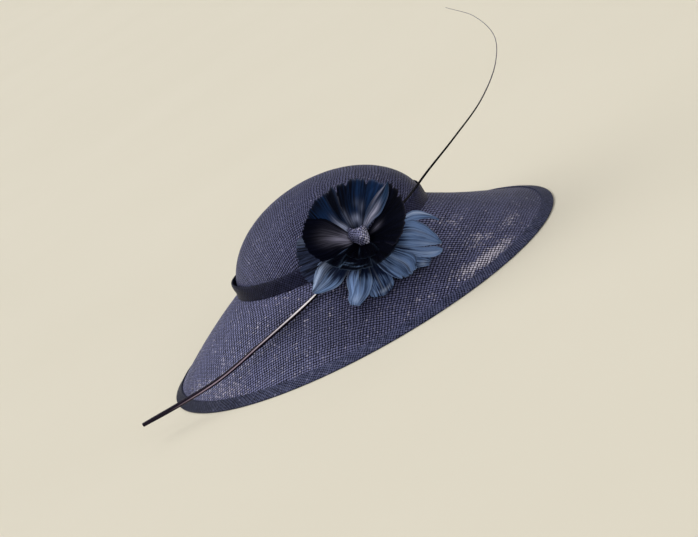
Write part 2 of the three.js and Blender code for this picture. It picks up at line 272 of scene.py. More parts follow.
class Look:
    """A material being built: a Principled shader and short calls for the nodes that feed it."""

    def __init__(self, name, **settings):
        self.material = bpy.data.materials.new(name)
        self.material.use_nodes = True
        self.tree = self.material.node_tree
        self.shader = self.tree.nodes["Principled BSDF"]
        for key, value in settings.items():
            self.shader.inputs[key.replace("_", " ")].default_value = value

    def node(self, kind, inputs=(), **settings):
        made = self.tree.nodes.new("ShaderNode" + kind)
        for key, value in settings.items():
            setattr(made, key, value)
        for key, value in dict(inputs).items():
            self.feed(made.inputs[key], value)
        return made

    def feed(self, socket, value):
        if isinstance(value, bpy.types.NodeSocket):
            self.tree.links.new(value, socket)
        else:
            socket.default_value = value

    def math(self, operation, a, b=0.0, c=0.0, clamp=False):
        inputs = {0: a, 1: b, 2: c}
        return self.node("Math", inputs, operation=operation, use_clamp=clamp).outputs[0]

    def vector_math(self, operation, a, b):
        second = "Scale" if operation == "SCALE" else 1
        return self.node("VectorMath", {0: a, second: b}, operation=operation).outputs[0]

    def vector(self, x=0.0, y=0.0, z=0.0):
        return self.node("CombineXYZ", {0: x, 1: y, 2: z}).outputs[0]

    def split(self, vector):
        return self.node("SeparateXYZ", {0: vector}).outputs

    def attribute(self, name):
        return self.node("Attribute", attribute_name=name).outputs["Vector"]

    def noise(self, vector, scale, detail=2.0, roughness=0.5):
        made = self.node("TexNoise", {"Vector": vector, "Scale": scale, "Detail": detail,
                                      "Roughness": roughness})
        return made.outputs["Fac"], made.outputs["Color"]

    def random(self, value):
        return self.node("TexWhiteNoise", {"W": value}, noise_dimensions="1D").outputs["Value"]

    def between(self, value, low, high, out_low=0.0, out_high=1.0):
        made = self.node("MapRange", {"Value": value, "From Min": low, "From Max": high,
                                      "To Min": out_low, "To Max": out_high})
        return made.outputs["Result"]

    def mix(self, factor, a, b):
        made = self.node("Mix", data_type="RGBA")
        self.feed(made.inputs["Factor"], factor)
        self.feed(made.inputs[6], a)
        self.feed(made.inputs[7], b)
        return made.outputs[2]

    def paint(self, value):
        self.feed(self.shader.inputs["Base Color"], value)

    def bump(self, height, distance):
        made = self.node("Bump", {"Height": height, "Distance": distance, "Strength": 1.0})
        self.feed(self.shader.inputs["Normal"], made.outputs[0])


def colour(r, g, b):
    """A colour from its everyday 0 to 255 values."""
    def linear(c):
        c /= 255
        return c / 12.92 if c <= 0.04045 else ((c + 0.055) / 1.055) ** 2.4
    return (linear(r), linear(g), linear(b), 1.0)


def woven(name, dark, light, pale, pitch, cover, turn, open_weave=True, contrast=1.0, weft=1.0,
          wander=3.0, thin=0.0, bump=0.35, sheen=0.0, shine=0.07, beat=1.0):
    """Plain-woven sinamay. Each thread is painted lighter where it bulges over a crossing and
    darker where it dips to the gaps, and pale flecks are painted glints on the lit threads. "weave"
    holds each point's place on the cloth, in millimetres, and the second attribute its painted
    highlight and painted shade. pitch is the distance between threads, cover the share of it under
    a thread, thin how much of that slack patches lose, turn the warp's direction in degrees, and
    wander how far threads stray. weft scales the crossing threads, and beat the distance between
    them."""
    look = Look(name, Roughness=0.42, Sheen_Weight=sheen, Sheen_Roughness=0.4,
                Sheen_Tint=(0.8, 0.82, 1.0, 1.0), Specular_IOR_Level=shine)
    flat = look.attribute("weave")
    _, waver = look.noise(flat, 0.04, 3.0)
    shift = look.vector_math("SUBTRACT", waver, (0.5, 0.5, 0.5))
    shift = look.vector_math("SCALE", shift, wander)
    place = look.vector_math("ADD", flat, shift)
    place = look.node("VectorRotate", {"Vector": place, "Angle": math.radians(turn)},
                      rotation_type="Z_AXIS").outputs[0]
    place = look.vector_math("MULTIPLY", place, (1 / pitch, 1 / (pitch * beat), 0))
    x, y, _ = look.split(place)
    patch, _ = look.noise(flat, 0.03, 3.0)
    slack = look.between(patch, 0.45, 0.68, 0.5 * cover, 0.5 * (cover - thin))

    def threads(across, along, phase, size, seed):
        """Height, cover, random tone and fleck noise of one set of threads, side by side along
        `across`.
        """
        index = look.math("ROUND", across)
        chance = look.random(look.math("ADD", index, seed))
        half = look.math("MULTIPLY", look.between(chance, 0, 1, 0.85 * size, 1.15 * size), slack)
        off = look.math("ABSOLUTE", look.math("SUBTRACT", across, index))
        ratio = look.math("DIVIDE", off, half)
        covered = look.math("LESS_THAN", ratio, 1.0)
        inside = look.math("SUBTRACT", 1.0, look.math("MULTIPLY", ratio, ratio), clamp=True)
        bulge = look.math("SQRT", inside)
        crossing = look.math("ADD", look.math("ADD", along, index), phase)
        wave = look.math("COSINE", look.math("MULTIPLY", crossing, math.pi))
        height = look.math("MULTIPLY_ADD", wave, 0.3, look.math("MULTIPLY_ADD", bulge, 0.4, 0.3))
        thread, length = look.math("MULTIPLY", index, 5.3), look.math("MULTIPLY", along, 0.35)
        fibre = look.vector(thread, length, seed)
        height = look.math("MULTIPLY", height, covered)
        return height, covered, chance, look.noise(fibre, 1.0, 1.0)[0]

    def upper(over, warp, weft):
        """The warp's value, or the weft's where the weft lies over it."""
        return look.math("MULTIPLY_ADD", over, look.math("SUBTRACT", weft, warp), warp)

    warp_height, warp_cover, warp_chance, warp_fleck = threads(x, y, 0.0, 1.0, 0.5)
    weft_height, weft_cover, weft_chance, weft_fleck = threads(y, x, 1.0, weft, 91.5)
    height = look.math("MAXIMUM", warp_height, weft_height)
    over = look.math("GREATER_THAN", weft_height, warp_height)
    chance = upper(over, warp_chance, weft_chance)
    fleck = upper(over, warp_fleck, weft_fleck)
    crossing = look.math("MULTIPLY_ADD", look.math("ROUND", x), 37.17, look.math("ROUND", y))
    spot = look.random(crossing)
    mottle, _ = look.noise(flat, 0.22, 2.0)
    # Painted light and shade: each thread is lighter where it bulges over a crossing and darker
    # where it dips to the gaps.
    tone = look.between(height, 0.45, 1.0, 0.5 - 0.5 * contrast, 0.5 + 0.5 * contrast)
    tone = look.math("MULTIPLY", tone, look.between(spot, 0, 1, 0.75, 1.15))
    tone = look.math("ADD", tone, look.between(chance, 0, 1, -0.15, 0.15))
    tone = look.math("ADD", tone, look.between(mottle, 0.3, 0.7, -0.16, 0.16))
    tone = look.math("ADD", tone, look.between(patch, 0.35, 0.65, -0.06, 0.06), clamp=True)
    # Painted shade from the point's attribute darkens the threads.
    bright, shaded, _ = look.split(look.attribute("painted_light"))
    tone = look.math("MULTIPLY", tone, look.math("SUBTRACT", 1.0, shaded, clamp=True))
    # Pale flecks: painted glints on the lit threads, more of them in the painted highlight patches.
    fleck = look.between(look.math("MULTIPLY_ADD", bright, 0.45, fleck), 0.61, 0.95)
    fleck = look.math("MULTIPLY", fleck, look.between(tone, 0.1, 0.7), clamp=True)
    thread_colour = look.mix(tone, colour(*dark), colour(*light))
    look.paint(look.mix(fleck, thread_colour, colour(*pale)))
    if open_weave:
        look.feed(look.shader.inputs["Alpha"], look.math("MAXIMUM", warp_cover, weft_cover))
    look.bump(height, bump * MM)
    return look.material


def feather(name, dark, light, pale, roughness, shine, contrast=1.0, sheen=0.0):
    """A trimmed feather. The "barb" attribute holds the place across the barbs, the place along
    them and a seed; the "tone" attribute holds the share of painted highlight, the share of painted
    highlight along the edge, and how much lighter or darker the feather is painted than its kind,
    painted shade included. pale is the colour of the painted highlights."""
    look = Look(name, Roughness=roughness, Sheen_Weight=sheen, Sheen_Roughness=0.35,
                Specular_IOR_Level=shine)
    across, along, seed = look.split(look.attribute("barb"))
    painted_highlights, edge, tint = look.split(look.attribute("tone"))

    def barbs(stretch, scale):
        place = look.vector(across, look.math("MULTIPLY", along, stretch), seed)
        return look.noise(place, scale, 2.0, 0.6)[0]

    locks, strands, barbules = barbs(0.1, 0.2), barbs(0.05, 0.6), barbs(0.03, 1.6)
    streak = look.math("MULTIPLY_ADD", strands, 0.55, look.math("MULTIPLY", locks, 0.3))
    streak = look.math("MULTIPLY_ADD", barbules, 0.15, streak)
    tone = look.between(streak, 0.5 - 0.2 / contrast, 0.5 + 0.2 / contrast)
    tone = look.math("ADD", tone, tint, clamp=True)
    body = look.mix(tone, colour(*dark), colour(*light))
    # Painted highlight, broken along the barbs, with the painted edge highlight, in the pale
    # colour.
    share = look.math("MULTIPLY", painted_highlights, look.between(strands, 0.35, 0.65, 0.3, 1.15))
    share = look.math("MAXIMUM", share, edge, clamp=True)
    look.paint(look.mix(share, body, colour(*pale)))
    look.bump(look.math("MULTIPLY_ADD", strands, 1.4, look.math("ADD", locks, barbules)), 0.5 * MM)
    return look.material


def plain(name, dark, light, scale, roughness, bump):
    """A matt solid with a mottled grain of its own."""
    look = Look(name, Roughness=roughness)
    grain, _ = look.noise(look.node("TexCoord").outputs["Object"], scale, 4.0)
    look.paint(look.mix(look.between(grain, 0.3, 0.7), colour(*dark), colour(*light)))
    look.bump(grain, bump * MM)
    return look.material


CROWN_OUTER = woven("crown_outer_straw", (5, 7, 22), (86, 88, 122), (150, 148, 174), pitch=2.55,
                    cover=0.72, turn=-12, thin=0.1, contrast=3.4, weft=0.8, wander=6.0, sheen=0.07)
# The inner plies are painted darker than the outer ones: painted shade for the shadow that lies on
# them under the outer ply.
CROWN_INNER = woven("crown_inner_straw", (5, 6, 15), (32, 34, 52), (50, 52, 74), pitch=2.65,
                    cover=0.86, turn=-6)
BRIM_OUTER = woven("brim_outer_straw", (5, 8, 26), (110, 112, 150), (204, 198, 216), pitch=2.7,
                   cover=0.7, turn=90, weft=0.74, thin=0.1, contrast=3.4, wander=4.5, sheen=0.03,
                   beat=1.05)
BRIM_INNER = woven("brim_inner_straw", (5, 6, 17), (36, 38, 60), (56, 58, 84), pitch=2.55,
                   cover=0.94, turn=95, weft=0.9, thin=0.06)
BAND_STRAW = woven("band_straw", (1, 1, 7), (52, 54, 82), (80, 82, 112), pitch=2.3, cover=0.9,
                   turn=48, open_weave=False, contrast=2.0, shine=0.03)
BINDING_STRAW = woven("binding_straw", (4, 6, 20), (78, 82, 112), (136, 136, 164), pitch=2.3,
                      cover=0.9, turn=58, open_weave=False, bump=0.4, weft=0.85, contrast=1.6,
                      wander=5.0, shine=0.04)
BUTTON_STRAW = woven("button_straw", (6, 8, 26), (132, 134, 172), (220, 218, 240), pitch=2.1,
                     cover=0.76, turn=38, open_weave=False, bump=0.6, contrast=2.6, wander=5.0)
# Dark and light body colours and the colour of painted highlights, then roughness, specular level,
# contrast and sheen.
FEATHERS = {name: feather(f"{name}_feather", *settings) for name, *settings in (
    ("black", (1, 2, 8), (9, 12, 30), (140, 138, 160), 0.6, 0.02),
    # rimmed: the black feather, its painted highlights bluish.
    ("rimmed", (1, 1, 6), (7, 10, 24), (84, 104, 132), 0.6, 0.02),
    ("navy", (3, 6, 20), (22, 48, 88), (152, 160, 190), 0.5, 0.04, 1.3),
    # streak: a lighter navy, painted for the sheen on the folded feather.
    ("streak", (6, 16, 36), (50, 80, 120), (166, 166, 190), 0.5, 0.05, 1.3),
    ("blue", (10, 22, 50), (106, 132, 176), (168, 182, 208), 0.5, 0.07, 2.2, 0.02),
    ("indigo", (4, 7, 20), (56, 66, 96), (104, 114, 136), 0.5, 0.06, 2.2, 0.01),
)}
FELT = plain("felt", (14, 15, 22), (30, 32, 44), scale=900, roughness=0.95, bump=0.3)
THREAD = plain("thread", (18, 19, 32), (44, 46, 66), scale=1500, roughness=0.8, bump=0.1)
WIRE = plain("wire", (14, 14, 18), (34, 34, 40), scale=1200, roughness=0.6, bump=0.05)


def petersham():
    """Ribbed head ribbon, its ribs upright."""
    rib_pitch = 1.1
    look = Look("petersham", Roughness=0.8, Sheen_Weight=0.3)
    x = look.split(look.attribute("weave"))[0]
    ribs = look.math("SINE", look.math("MULTIPLY", x, 2 * math.pi / rib_pitch))
    look.paint(look.mix(look.between(ribs, -1, 1), colour(14, 15, 26), colour(40, 42, 62)))
    look.bump(ribs, 0.15 * MM)
    return look.material


def shaft():
    """Polished quill: purple black, with a pale pith line where the "groove" attribute is high,
    from the butt to the flower, and a grey hair-fine end. The pith line is painted brighter towards
    the flower, up to the white of a highlight: partly the pith's own colour, partly painted
    highlight. The attribute's second part is the share of the length from the butt."""
    look = Look("quill_shaft", Roughness=0.35, Specular_IOR_Level=0.1, Coat_Weight=0.05,
                Coat_Roughness=0.25)
    groove, share, _ = look.split(look.attribute("groove"))
    place = look.vector(look.math("MULTIPLY", share, 60.0), look.math("MULTIPLY", groove, 2.0))
    mottle, _ = look.noise(place, 2.0, 3.0)
    bark = look.mix(look.between(share, 0.15, 0.4), colour(32, 20, 42), colour(6, 5, 11))
    bark = look.mix(mottle, colour(2, 1, 6), bark)
    # The pith line: its own pale colour, painted up to a white highlight towards the flower.
    pith = look.mix(look.between(share, 0.22, 0.36), colour(160, 142, 158), colour(255, 250, 252))
    pith = look.mix(look.between(mottle, 0.5, 0.85, 0.0, 0.25), pith, colour(110, 90, 108))
    line = look.between(groove, 0.36, 0.54)
    shown = look.math("MULTIPLY", look.between(share, 0.05, 0.13), look.between(share, 0.45, 0.4))
    body = look.mix(look.math("MULTIPLY", line, shown), bark, pith)
    look.paint(look.mix(look.between(share, 0.76, 0.95), body, colour(130, 126, 140)))
    look.bump(mottle, 0.05 * MM)
    return look.material


# ---- Crown, brim, ribbon, band and binding ----

def crown_cloth(name, node, depth, material):
    """One pressed layer of the crown, depth inside its outer face."""
    outer = dome_face(CROWN_HEIGHT, CROWN_EDGE_HEIGHT, depth, steps=44)
    inner = dome_face(CROWN_HEIGHT, CROWN_EDGE_HEIGHT, depth + CLOTH_THICKNESS, steps=44)
    far = along_profile(outer)
    points, faces, places = revolve([*outer, *inner[::-1]], [*far, *far[::-1]], segments=180,
                                    closed=False)
    piece = new_piece(name, points, faces, material, {"weave": places})
    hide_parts(node)


# Painted highlights on the brim: patches where the threads are painted pale, as if catching the
# light.
BRIM_SHINE = [
    (244, 86, 9, 6, 1.5), (236, 80, 5, 5, 0.5), (265, 74, 6, 6, 0.6), (258, 30, 5, 9, 0.45),
    (251, 64, 5, 8, 0.5), (150, 32, 5, 7, 0.3), (148, 62, 12, 14, 0.2), (151, 88, 9, 6, 0.35),
    (132, 84, 14, 10, 0.35), (60, 70, 12, 9, 0.4), (20, 45, 9, 10, 0.3), (330, 60, 8, 10, 0.35),
]
# Painted shade on the brim: patches painted darker where shade falls on it.
BRIM_SHADE = [
    (203, 62, 26, 40, 0.5), (222, 30, 14, 22, 0.3), (283, 84, 16, 12, 0.25),
    (172, 36, 16, 18, 0.35),
]


def patches(points, spread):
    """The strength at each point of soft patches, each of them (degrees round the hat, mm out from
    the head, spread of both, strength)."""
    turn = np.degrees(np.arctan2(points[:, 1], points[:, 0])) % 360
    out = np.hypot(points[:, 0], points[:, 1]) - oval_radius(np.radians(turn))
    total = np.zeros(len(points))
    for degrees, reach, wide, deep, strength in spread:
        apart = (turn - degrees + 180) % 360 - 180
        total += strength * np.exp(-((apart / wide) ** 2) - ((out - reach) / deep) ** 2)
    return total


def painted_light_patches(points, bright=(), painted_shade=()):
    """The attribute of painted light: painted highlight where the threads are shown catching the
    light, and painted shade.
    """
    bright, painted_shade = patches(points, bright), patches(points, painted_shade)
    return np.stack([bright, painted_shade, 0 * painted_shade], 1)


def brim_cloth(name, node, depth, material):
    """One layer of the brim with its collar, depth inside its upper face."""
    head_hole = 60
    upper = brim_face(depth, steps=46)
    under = brim_face(depth + CLOTH_THICKNESS, steps=46)
    far = head_hole + along_profile(upper)
    points, faces, places = revolve([*upper, *under[::-1]], [*far, *far[::-1]], segments=260,
                                    closed=True)
    # Painted highlight and painted shade patches, carried to the brim's material.
    painted_light = painted_light_patches(points, BRIM_SHINE, BRIM_SHADE)
    piece = new_piece(name, points, faces, material, {"weave": places, "painted_light": painted_light})
    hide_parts(node)


def along_places(points, rows, columns):
    """Places on a strip: distance round the hat, and distance across the strip."""
    grid = points.reshape(rows, columns, 3)
    ring = grid[rows // 2]
    steps = np.linalg.norm(np.roll(ring, -1, 0) - ring, axis=1)
    round_hat = np.concatenate([[0], np.cumsum(steps)[:-1]])
    across = along_profile(grid[:, 0])
    places = np.zeros((rows, columns, 3))
    places[..., 0] = round_hat
    places[..., 1] = across[:, None]
    return places.reshape(-1, 3)


def strip(name, node, outline, segments, material, offset=None, painted_shade=()):
    """A closed outline turned round the hat as a strip of cloth."""
    points, faces, _ = revolve(outline, np.zeros(len(outline)), segments, closed=True,
                               offset=offset)
    places = along_places(points, len(outline), segments)
    piece = new_piece(name, points, faces, material,
                      {"weave": places, "painted_light": painted_light_patches(points, painted_shade=painted_shade)})
    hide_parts(node)
    return piece


def folded(line, thickness):
    """The outline of a strip of cloth whose middle follows an open line, its bends rounded."""
    line = np.asarray(line, float)
    for _ in range(2):
        before, after = line[:-1], line[1:]
        cut = np.stack([0.75 * before + 0.25 * after, 0.25 * before + 0.75 * after], 1)
        line = np.concatenate([line[:1], cut.reshape(-1, 2), line[-1:]])
    along = np.gradient(line, axis=0)
    along /= np.linalg.norm(along, axis=1, keepdims=True)
    across = np.stack([-along[:, 1], along[:, 0]], 1) * thickness / 2
    return np.concatenate([line + across, (line - across)[::-1]])


def head_ribbon():
    """The ribbon that lines the opening, inside the four layers of the crown and the collars."""
    depth = 4 * PLY_STEP
    outer = dome_face(RIBBON_HEIGHT, CROWN_EDGE_HEIGHT, depth, steps=8)
    inner = dome_face(RIBBON_HEIGHT, CROWN_EDGE_HEIGHT, depth + PLY, steps=8)
    outline = [*outer, *inner[::-1]]
    piece = strip("petersham_ribbon", "head_ribbon", outline, 240, petersham())


def crown_band():
    """A bias strip folded along its upper edge, which stands a little open from the crown."""
    def wall(height, off):
        return dome_point(dome_angle(height), -off)
    outside = [(HEAD_RADIUS + 2.8, brim_height(2.8) + 2 * GAP), *(wall(h, o) for h, o in (
        (2.5, 2.5), (5, 2.6), (8, 2.8), (11, 2.75), (12.2, 2.4)))]
    inside = [*(wall(h, o) for h, o in ((12.5, 1.8), (11.9, 1.2), (9, 0.85), (6, 0.7), (3, 0.65))),
              (HEAD_RADIUS + 0.9, brim_height(0.9) + 2 * GAP)]
    outline = folded([*outside, *inside], BAND_THICKNESS)

    heights = np.linspace(0, BAND_HEIGHT + 1, 60)
    wall_radius = [dome_point(dome_angle(h), 0)[0] for h in heights]

    def gape(radius, height, theta):
        """Draws the band close at the front, and lets its upper edge stand off at the back."""
        lift = smoothstep(3, BAND_HEIGHT, height)
        back = np.exp(-((theta - math.radians(115)) / 0.35) ** 2)
        front = np.exp(-((theta - math.radians(285)) / 0.9) ** 2)
        crown = np.interp(height, heights, wall_radius)
        off = (radius - crown) * (1 - 0.55 * front)
        wave = 0.2 * np.sin(7 * theta) + 0.15 * np.sin(11 * theta + 1)
        radius = crown + off + lift * (1.7 * back + 0.25 + wave * (1 - front))
        return radius, height + lift * (0.5 * np.sin(4 * theta + 0.5) + 0.8 * back)

    # A patch of painted shade darkens the band round its back.
    piece = strip("bias_band", "crown_band", outline, 300, BAND_STRAW, gape,
                  painted_shade=[(130, 3, 75, 60, 0.65)])


def brim_binding():
    """A bias strip folded over the brim's edge, level underneath where the hat stands."""
    start = BRIM_WIDTH - BINDING_WIDTH
    rim = HEAD_RADIUS + BRIM_WIDTH
    top = [brim_point(start + s, -GAP - t) for s, t in (
        (3.5, 0), (0.4, 0.05), (0, 0.45), (0.8, 0.75), (4, 0.75), (7, 0.7), (9.4, 0.65))]
    edge = [(rim - s, REST_HEIGHT + t) for s, t in (
        (0.4, 1.5), (0.8, 0.4), (1.8, 0.23), (3.4, 0.3))]
    under = [brim_point(start + s, t) for s, t in (
        (4, 2.3), (1, 2.2), (0, 2.0), (0.2, 1.85), (1.5, 1.85))]
    outline = folded([*top, *edge, *under], BINDING_THICKNESS)
    # Patches of painted shade darken the binding in two places.
    piece = strip("bias_binding", "brim_edge_binding", outline, 720, BINDING_STRAW,
                  painted_shade=[(118, 100, 45, 30, 0.75), (285, 100, 30, 30, 0.2)])


crown_cloth("crown_outer_cloth", "crown_outer_ply", 0, CROWN_OUTER)
crown_cloth("crown_inner_cloth", "crown_inner_ply", PLY_STEP, CROWN_INNER)
brim_cloth("brim_outer_cloth", "brim_outer_ply", 0, BRIM_OUTER)
brim_cloth("brim_inner_cloth", "brim_inner_ply", PLY_STEP, BRIM_INNER)
head_ribbon()
crown_band()
brim_binding()


# ---- Flower ----

def flower_frame():
    """The flower's axes as columns, +Z out of its face and +Y up the crown; its centre."""
    outward = np.array([-math.sin(FLOWER_FACING), -math.cos(FLOWER_FACING), 0])
    axis = outward * math.cos(FLOWER_TILT) + np.array([0, 0, math.sin(FLOWER_TILT)])
    right = np.cross([0, 0, 1], outward)
    up = np.cross(axis, right)
    low, high = box_mm("flower_base")
    return np.stack([right, up, axis], 1), (low + high) / 2 + axis * (GAP + DISC_THICKNESS / 2)


FLOWER_AXES, FLOWER_CENTRE = flower_frame()


def under_height(radius, angle):
    """The spread row's height over the disc, lifted off the brim where it points down."""
    down = np.maximum(0, -np.sin(angle))
    return UNDER_LIFT * down * down * (radius / UNDER_RADIUS) ** 1.5


def cup_height(radius, angle):
    """The cup's height over the disc, the same at every angle."""
    reach = np.maximum(0, (radius - CUP_ROOT) / (CUP_RADIUS - CUP_ROOT))
    return CUP_FLOOR + CUP_DEPTH * reach ** 1.25


RIPPLES = (2.1, 4.7, 9.3, 17.9, 31.0)


def ripple(x, seed):
    """A smooth repeatable wave between about -1 and 1."""
    phases = np.random.default_rng(seed).uniform(0, 2 * np.pi, len(RIPPLES))
    return sum(np.sin(x * k + phase) / (1 + 0.5 * i)
               for i, (k, phase) in enumerate(zip(RIPPLES, phases))) / 2


def edge_line(points, shares):
    """A smooth line through (degrees, reach) points: angle and radius at shares of its length."""
    degrees, reach = np.array(points, float).T
    theta = np.radians(degrees)
    place = np.stack([reach * np.cos(theta), reach * np.sin(theta)], 1)
    knots = np.concatenate([[2 * place[0] - place[1]], place, [2 * place[-1] - place[-2]]])
    line = []
    for p, q, r, t in zip(knots, knots[1:], knots[2:], knots[3:]):
        for s in np.linspace(0, 1, 24, endpoint=False):
            line.append(0.5 * (2 * q + (r - p) * s + (2 * p - 5 * q + 4 * r - t) * s ** 2
                               + (3 * q - p - 3 * r + t) * s ** 3))
    line = np.array([*line, place[-1]])
    far = along_profile(line)
    x, y = (np.interp(shares * far[-1], far, line[:, k]) for k in (0, 1))
    return np.unwrap(np.arctan2(y, x)), np.hypot(x, y)


def leaf_mesh(top, thickness):
    """A thin closed leaf under a grid of points, as points and faces."""
    rows, columns = top.shape[:2]
    normal = np.cross(np.gradient(top, axis=0), np.gradient(top, axis=1))
    normal /= np.maximum(1e-9, np.linalg.norm(normal, axis=-1, keepdims=True))
    under = top - normal * thickness
    count = rows * columns
    faces = [f[::-1] for f in grid_faces(rows, columns, start=count)] + grid_faces(rows, columns)
    edge = list(range(columns)) + [i * columns + columns - 1 for i in range(1, rows)]
    edge += [(rows - 1) * columns + j for j in range(columns - 2, -1, -1)]
    edge += [i * columns for i in range(rows - 2, 0, -1)]
    faces += [(b, a, a + count, b + count) for a, b in zip(edge, edge[1:] + edge[:1])]
    return np.concatenate([top.reshape(-1, 3), under.reshape(-1, 3)]), faces


def spots(places, u, w):
    """The strength of soft spots: (share along, share across, spreads of both, strength)."""
    total = 0 * u * w
    for along, across, long, wide, strength in places:
        total = total + strength * np.exp(-((u - along) / long) ** 2 - ((w - across) / wide) ** 2)
    return total


def petal(name, node, slot, height, seed, left, right, look="blue", lift=0.0, belly=0.0,
          crease=0.0, ruffle=1.4, bulge=0.0, fringe=0.3, splits=(), folds=(), roll=0.0, painted_highlights=(),
          tint=0.0, shade=(), rim=0.0, covered=0.0):
    """One feather between two edges, lines of (degrees, reach) points in the flower's frame from
    root to end. height is the row's shape and lift the petal's place over it. belly raises the
    middle, crease its rib, ruffle waves it, fringe frays its edge, bulge rounds the end and roll
    turns it outwards. splits are (share across, depth) where the barbs part, folds (share across
    at the root, at the end, height) where one lobe laps over the next, with a painted highlight on
    the lapping edge and painted shadow in the hollow beside it. The highlight spots are painted
    highlights, shade spots are painted lighter or darker, tint lightens or darkens the whole
    feather, rim is a painted highlight along the edge, and covered the share near the root that is
    painted in shade, where it lies under the row above."""
    rows, columns = 60, 81
    u = np.linspace(0, 1, rows)
    w = np.linspace(0, 1, columns)
    left_angle, left_reach = edge_line(left, u)
    right_angle, right_reach = edge_line(right, u)
    while left_angle[-1] < right_angle[-1]:
        left_angle += 2 * np.pi
    while left_angle[-1] - right_angle[-1] > 2 * np.pi:
        left_angle -= 2 * np.pi
    u, w = u[:, None], w[None, :]
    angle = left_angle[:, None] * w + right_angle[:, None] * (1 - w)
    reach = left_reach[:, None] * w + right_reach[:, None] * (1 - w)
    arch = 4 * w * (1 - w)
    side = np.abs(2 * w - 1)
    jag = fringe * (0.55 * ripple(w * 9, seed + 1) + 0.45 * ripple(w * 31, seed + 2))
    for share, depth in splits:
        jag = jag - depth * np.exp(-((w - share) / 0.022) ** 2)
    reach = reach + bulge * arch ** 0.8 * u ** 2.5 + u ** 10 * jag
    frayed = np.exp(-(np.minimum(w, 1 - w) / 0.05))
    reach = reach + 0.35 * fringe * frayed * ripple(u * 7, seed + 4) * u
    rise = belly * arch * np.sin(np.pi * np.minimum(1, u * 1.05)) + crease * (1 - side) * u ** 0.5
    rise = rise + ruffle * u ** 2 * ripple(w * 2.6 + u * 1.4, seed + 3) * (0.4 + 0.6 * side)
    rise = rise + 0.12 * ruffle * u * ripple(w * 13 + u, seed + 6)
    lapped = 0 * u * w
    for start, finish, step in folds:
        away = (w - start - (finish - start) * u) * math.copysign(1, step)
        lap = np.where(away > 0, np.exp(-away / 0.22), 0) * smoothstep(0.1, 0.5, u)
        rise = rise + abs(step) * lap
        # A painted highlight on the lapping edge, and painted shadow in the hollow beside it.
        hollow = np.where(away <= 0, np.exp(away / 0.03), 0)
        lapped = lapped + lap * np.exp(-away / 0.02) - 0.35 * hollow
    turned = smoothstep(0.8, 1.0, u)
    rise = rise - roll * turned ** 2
    reach = reach - 0.6 * roll * turned ** 3
    z = height(reach, angle) + lift + rise
    top = np.stack([reach * np.cos(angle), reach * np.sin(angle), z], -1)
    points, faces = leaf_mesh(top, FEATHER_THICKNESS)
    widest = np.max(np.linalg.norm(top[:, 0] - top[:, -1], axis=-1))
    barb = np.stack([w * widest + 0 * u, reach, np.full_like(reach, seed * 7.3)], -1)
    barb = np.tile(barb.reshape(-1, 3), (2, 1))
    near = np.minimum(np.minimum(w, 1 - w) * widest, (1 - u) * reach.max() + 0 * w)
    # Painted highlight along the edges and the lapping lobes.
    painted_edge_highlight = rim * (np.exp(-near / 0.7) + np.clip(lapped, 0, 1))
    # Painted shade near the root, where the row above covers the feather.
    painted_shade_under = 0.9 * (1 - smoothstep(covered - 0.12, covered + 0.12, u)) if covered else 0.0
    lighter = tint + spots(shade, u, w) - painted_shade_under + 0.5 * np.clip(lapped, -1, 0)
    tone = np.stack([spots(painted_highlights, u, w), painted_edge_highlight, lighter], -1).reshape(-1, 3)
    # The back faces get little of the painted highlight and half of the painted edge highlight.
    back_tone = tone * [0.15, 0.5, 1.0]
    piece = new_piece(name, points @ FLOWER_AXES.T + FLOWER_CENTRE, faces, FEATHERS[look],
                      {"barb": barb, "tone": np.concatenate([tone, back_tone])})
    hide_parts(node)


